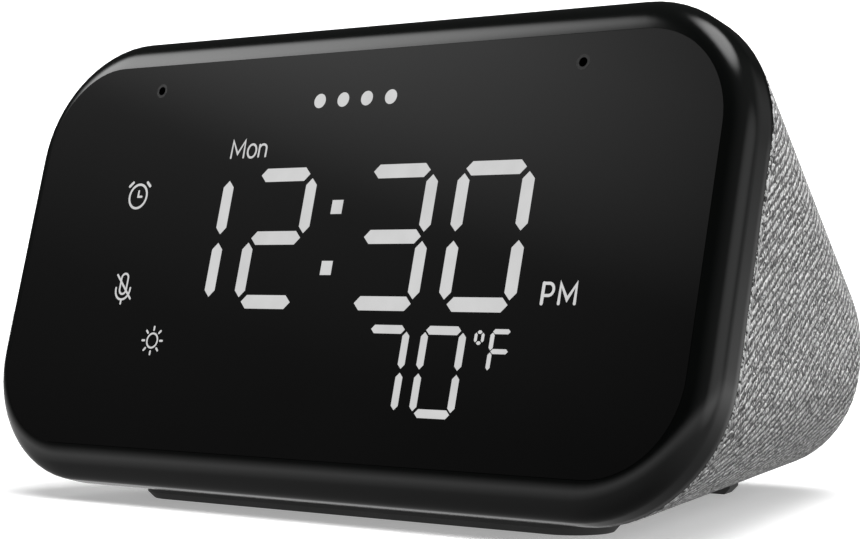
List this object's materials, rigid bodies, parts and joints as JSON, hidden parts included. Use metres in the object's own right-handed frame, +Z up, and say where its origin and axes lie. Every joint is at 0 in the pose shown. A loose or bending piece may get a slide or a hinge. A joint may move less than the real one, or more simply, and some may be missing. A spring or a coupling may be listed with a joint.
{
  "type": "smart display clock",
  "caption": "Small wedge-shaped desk clock with a tilted segment display in a black rim, a fabric-covered body with a loudspeaker, keys on top, and ports and a mute switch at the back.",
  "frame": {"origin": "middle of the footprint box, on the surface that the rubber foot stands on", "axes": "+Z up, the display faces -Y, +X to the right of someone looking at the display"},
  "size_m": [0.121, 0.083, 0.0646],
  "materials": {
    "rim_black": "satin black moulded plastic",
    "smoked_glass": "glossy smoked window",
    "black_film": "matt black film",
    "white_reflector": "white moulded reflector",
    "lit_segments": "lit diffusing plastic, light grey-white",
    "circuit_board": "green solder mask",
    "led_body": "small light emitting diodes",
    "sensor_can": "tinned steel can",
    "foam": "black foam",
    "inner_plastic": "black moulded plastic",
    "screw_steel": "zinc plated",
    "ribbon": "amber flexible circuit",
    "spreader": "bare sheet",
    "heather_fabric": "grey heather twill weave with black and white flecks",
    "base_plastic": "fine spark texture",
    "foot_rubber": "matt charcoal rubber",
    "ballast_steel": "bare plate",
    "panel_plastic": "matt black moulded plastic",
    "key_rubber": "soft-touch dark grey",
    "plunger_plastic": "red switch plunger",
    "switch_body": "black moulded switch body",
    "speaker_steel": "black painted steel",
    "speaker_rubber": "half-roll surround",
    "spider_cloth": "resin-dipped cloth",
    "cone_paper": "pressed paper, black",
    "copper_coil": "enamelled copper winding",
    "magnet": "plated magnet ring",
    "wire": "insulated leads",
    "connector_metal": "nickel plated",
    "connector_plastic": "black connector body",
    "slider_plastic": "orange switch slider"
  },
  "bodies": {
    "chassis": {"front_bezel": "rim_black", "display_lens": "smoked_glass", "light_mask": "black_film", "light_reflector": "white_reflector", "segment_light_pipes": "lit_segments", "display_board": "circuit_board", "segment_leds": "led_body", "microphones": "sensor_can", "mic_gaskets": "foam", "mic_boards": "circuit_board", "display_carrier": "inner_plastic", "carrier_screws": "screw_steel", "display_ribbon": "ribbon", "main_board": "circuit_board", "main_board_screws": "screw_steel", "shield_can": "sensor_can", "heat_spreader": "spreader", "wifi_antenna": "circuit_board", "rear_housing": "inner_plastic", "fabric_cover": "heather_fabric", "base_plate": "base_plastic", "base_screws": "screw_steel", "rubber_foot": "foot_rubber", "ballast_weight": "ballast_steel", "button_panel": "panel_plastic", "tact_switches": "switch_body", "button_board": "circuit_board", "button_board_screws": "screw_steel", "speaker_gasket": "foam", "speaker_basket": "speaker_steel", "speaker_surround": "speaker_rubber", "speaker_spider": "spider_cloth", "speaker_top_plate": "speaker_steel", "speaker_magnet": "magnet", "speaker_yoke": "speaker_steel", "speaker_box": "inner_plastic", "speaker_screws": "screw_steel", "speaker_wires": "wire", "port_plate": "panel_plastic", "usb_receptacle": "connector_metal", "usb_tongue": "connector_plastic", "power_jack": "connector_plastic", "power_jack_pin": "connector_metal", "mute_switch": "switch_body", "port_board": "circuit_board", "port_board_screws": "screw_steel"},
    "cone": {"speaker_cone": "cone_paper", "speaker_dust_cap": "cone_paper", "speaker_voice_coil": "copper_coil"},
    "mute_knob": {"mute_slider": "slider_plastic"},
    "volume_down_key": {"volume_down_button": "key_rubber", "volume_down_plunger": "plunger_plastic"},
    "play_pause_key": {"play_pause_button": "key_rubber", "play_pause_plunger": "plunger_plastic"},
    "alarm_key": {"alarm_button": "key_rubber", "alarm_plunger": "plunger_plastic"},
    "volume_up_key": {"volume_up_button": "key_rubber", "volume_up_plunger": "plunger_plastic"}
  },
  "joints": [
    {"name": "volume_down_press", "type": "slide", "parent": "chassis", "child": "volume_down_key", "axis": [0, -0.4473, -0.8944], "range_m": [0, 0.0006], "stiffness_N_per_m": 1200, "springref_m": -0.0003},
    {"name": "play_pause_press", "type": "slide", "parent": "chassis", "child": "play_pause_key", "axis": [0, -0.4473, -0.8944], "range_m": [0, 0.0006], "stiffness_N_per_m": 1200, "springref_m": -0.0003},
    {"name": "alarm_press", "type": "slide", "parent": "chassis", "child": "alarm_key", "axis": [0, -0.4473, -0.8944], "range_m": [0, 0.0006], "stiffness_N_per_m": 1200, "springref_m": -0.0003},
    {"name": "volume_up_press", "type": "slide", "parent": "chassis", "child": "volume_up_key", "axis": [0, -0.4473, -0.8944], "range_m": [0, 0.0006], "stiffness_N_per_m": 1200, "springref_m": -0.0003},
    {"name": "mute_slide", "type": "slide", "parent": "chassis", "child": "mute_knob", "axis": [1, 0, 0], "range_m": [0, 0.0025]},
    {"name": "cone_stroke", "type": "slide", "parent": "chassis", "child": "cone", "axis": [0, 0.4473, 0.8944], "range_m": [-0.0007, 0.0007], "stiffness_N_per_m": 600, "deforming": ["speaker_surround", "speaker_spider"]}
  ]
}
